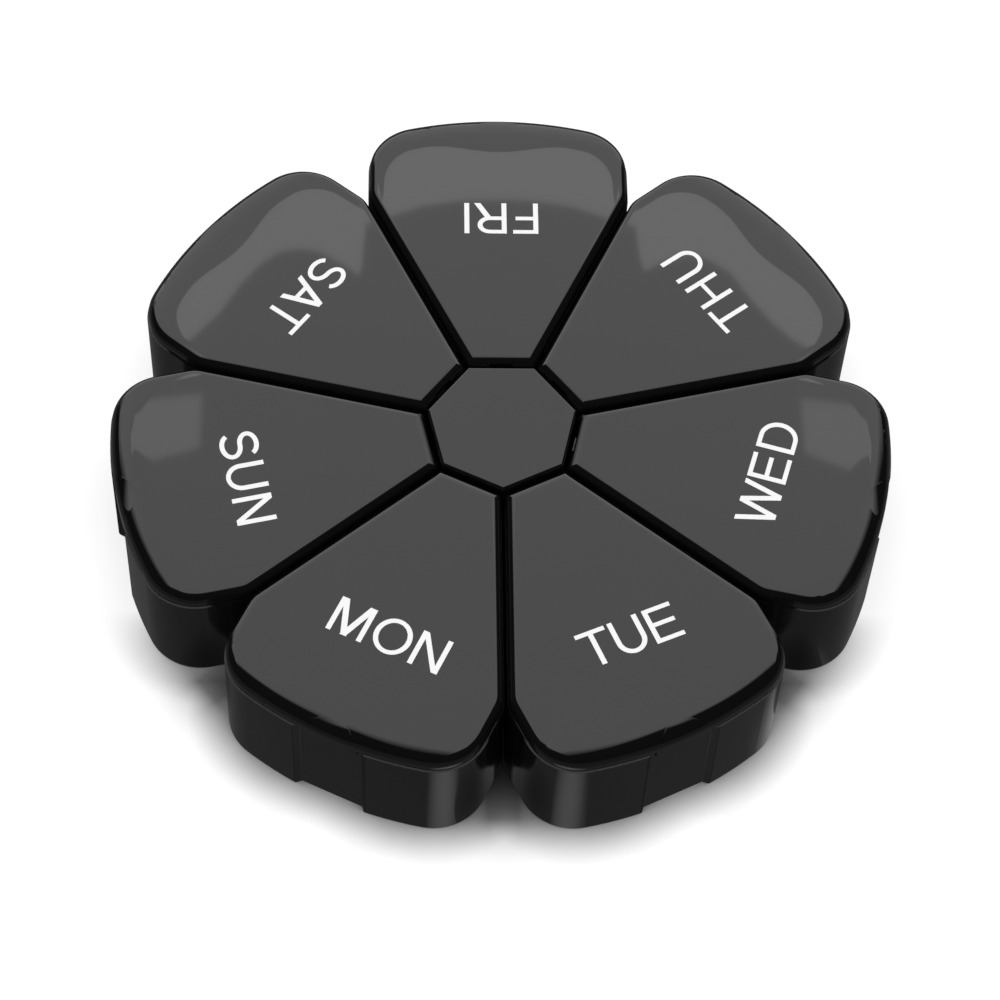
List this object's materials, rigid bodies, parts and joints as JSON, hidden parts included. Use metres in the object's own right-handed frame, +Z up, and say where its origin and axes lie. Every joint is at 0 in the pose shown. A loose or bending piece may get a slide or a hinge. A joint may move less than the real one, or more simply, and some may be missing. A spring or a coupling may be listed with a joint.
{
  "type": "weekly pill organizer",
  "caption": "Round weekly pill organizer of wedge-shaped day boxes with hinged lids, docked round a low polygonal hub.",
  "frame": {"origin": "middle of the hub's underside, on the surface that the organizer stands on", "axes": "+Z up out of the lids, +Y towards the Friday box; the other days follow anticlockwise seen from above"},
  "size_m": [0.1058, 0.1047, 0.0178],
  "materials": {
    "body_plastic": "moulded satin gloss",
    "lid_plastic": "moulded gloss",
    "pin_steel": "ground steel wire"
  },
  "bodies": {
    "hub": {"hub": "body_plastic", "hub_cap": "lid_plastic"},
    "friday_box": {"friday_box": "body_plastic"},
    "friday_lid": {"friday_lid": "lid_plastic", "friday_hinge_pin": "pin_steel"},
    "saturday_box": {"saturday_box": "body_plastic"},
    "saturday_lid": {"saturday_lid": "lid_plastic", "saturday_hinge_pin": "pin_steel"},
    "sunday_box": {"sunday_box": "body_plastic"},
    "sunday_lid": {"sunday_lid": "lid_plastic", "sunday_hinge_pin": "pin_steel"},
    "monday_box": {"monday_box": "body_plastic"},
    "monday_lid": {"monday_lid": "lid_plastic", "monday_hinge_pin": "pin_steel"},
    "tuesday_box": {"tuesday_box": "body_plastic"},
    "tuesday_lid": {"tuesday_lid": "lid_plastic", "tuesday_hinge_pin": "pin_steel"},
    "wednesday_box": {"wednesday_box": "body_plastic"},
    "wednesday_lid": {"wednesday_lid": "lid_plastic", "wednesday_hinge_pin": "pin_steel"},
    "thursday_box": {"thursday_box": "body_plastic"},
    "thursday_lid": {"thursday_lid": "lid_plastic", "thursday_hinge_pin": "pin_steel"}
  },
  "joints": [
    {"name": "friday_pull_out", "type": "slide", "parent": "hub", "child": "friday_box", "axis": [0, 1, 0], "range_m": [0, 0.038]},
    {"name": "friday_lid_hinge", "type": "hinge", "parent": "friday_box", "child": "friday_lid", "pos_m": [0, 0.0113, 0.0163], "axis": [1, 0, 0], "range_deg": [0, 100]},
    {"name": "saturday_pull_out", "type": "slide", "parent": "hub", "child": "saturday_box", "axis": [-0.7818, 0.6235, 0], "range_m": [0, 0.038]},
    {"name": "saturday_lid_hinge", "type": "hinge", "parent": "saturday_box", "child": "saturday_lid", "pos_m": [-0.00883, 0.00705, 0.0163], "axis": [0.6235, 0.7818, 0], "range_deg": [0, 100]},
    {"name": "sunday_pull_out", "type": "slide", "parent": "hub", "child": "sunday_box", "axis": [-0.9749, -0.2225, 0], "range_m": [0, 0.038]},
    {"name": "sunday_lid_hinge", "type": "hinge", "parent": "sunday_box", "child": "sunday_lid", "pos_m": [-0.01102, -0.00251, 0.0163], "axis": [-0.2225, 0.9749, 0], "range_deg": [0, 100]},
    {"name": "monday_pull_out", "type": "slide", "parent": "hub", "child": "monday_box", "axis": [-0.4339, -0.901, 0], "range_m": [0, 0.038]},
    {"name": "monday_lid_hinge", "type": "hinge", "parent": "monday_box", "child": "monday_lid", "pos_m": [-0.0049, -0.01018, 0.0163], "axis": [-0.901, 0.4339, 0], "range_deg": [0, 100]},
    {"name": "tuesday_pull_out", "type": "slide", "parent": "hub", "child": "tuesday_box", "axis": [0.4339, -0.901, 0], "range_m": [0, 0.038]},
    {"name": "tuesday_lid_hinge", "type": "hinge", "parent": "tuesday_box", "child": "tuesday_lid", "pos_m": [0.0049, -0.01018, 0.0163], "axis": [-0.901, -0.4339, 0], "range_deg": [0, 100]},
    {"name": "wednesday_pull_out", "type": "slide", "parent": "hub", "child": "wednesday_box", "axis": [0.9749, -0.2225, 0], "range_m": [0, 0.038]},
    {"name": "wednesday_lid_hinge", "type": "hinge", "parent": "wednesday_box", "child": "wednesday_lid", "pos_m": [0.01102, -0.00251, 0.0163], "axis": [-0.2225, -0.9749, 0], "range_deg": [0, 100]},
    {"name": "thursday_pull_out", "type": "slide", "parent": "hub", "child": "thursday_box", "axis": [0.7818, 0.6235, 0], "range_m": [0, 0.038]},
    {"name": "thursday_lid_hinge", "type": "hinge", "parent": "thursday_box", "child": "thursday_lid", "pos_m": [0.00883, 0.00705, 0.0163], "axis": [0.6235, -0.7818, 0], "range_deg": [0, 100]}
  ]
}
